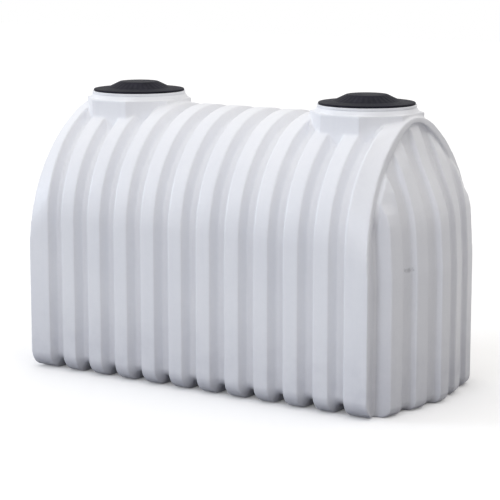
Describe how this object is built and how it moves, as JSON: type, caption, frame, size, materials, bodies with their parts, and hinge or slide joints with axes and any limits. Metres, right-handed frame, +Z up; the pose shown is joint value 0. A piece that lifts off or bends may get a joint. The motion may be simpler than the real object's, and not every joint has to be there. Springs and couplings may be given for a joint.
{
  "type": "underground cistern",
  "caption": "Ribbed moulded plastic water cistern with an arched roof, bowed ribbed ends and eight-sided manway necks under round lift-off lids.",
  "frame": {"origin": "bottom centre of the tank, on the ground under its ribs", "axes": "+X along the tank, +Y across it to the back, +Z up"},
  "size_m": [2.716, 1.264, 1.7553],
  "materials": {
    "tank_shell": "natural white moulded polyethylene, satin, slightly mottled",
    "lid": "black moulded polyethylene, satin"
  },
  "bodies": {
    "tank": {"floor_pan": "tank_shell", "front_bottom_corner": "tank_shell", "back_bottom_corner": "tank_shell", "front_wall": "tank_shell", "back_wall": "tank_shell", "front_haunch": "tank_shell", "back_haunch": "tank_shell", "crown_middle": "tank_shell", "left_crown": "tank_shell", "right_crown": "tank_shell", "left_end_wall": "tank_shell", "right_end_wall": "tank_shell", "left_end_dome": "tank_shell", "right_end_dome": "tank_shell", "left_neck": "tank_shell", "right_neck": "tank_shell", "left_rim": "tank_shell", "right_rim": "tank_shell"},
    "left_cover": {"left_lid": "lid"},
    "right_cover": {"right_lid": "lid"}
  },
  "joints": [
    {"name": "left_lid_lift", "type": "slide", "parent": "tank", "child": "left_cover", "axis": [0, 0, 1], "range_m": [0, 0.25]},
    {"name": "right_lid_lift", "type": "slide", "parent": "tank", "child": "right_cover", "axis": [0, 0, 1], "range_m": [0, 0.25]}
  ]
}
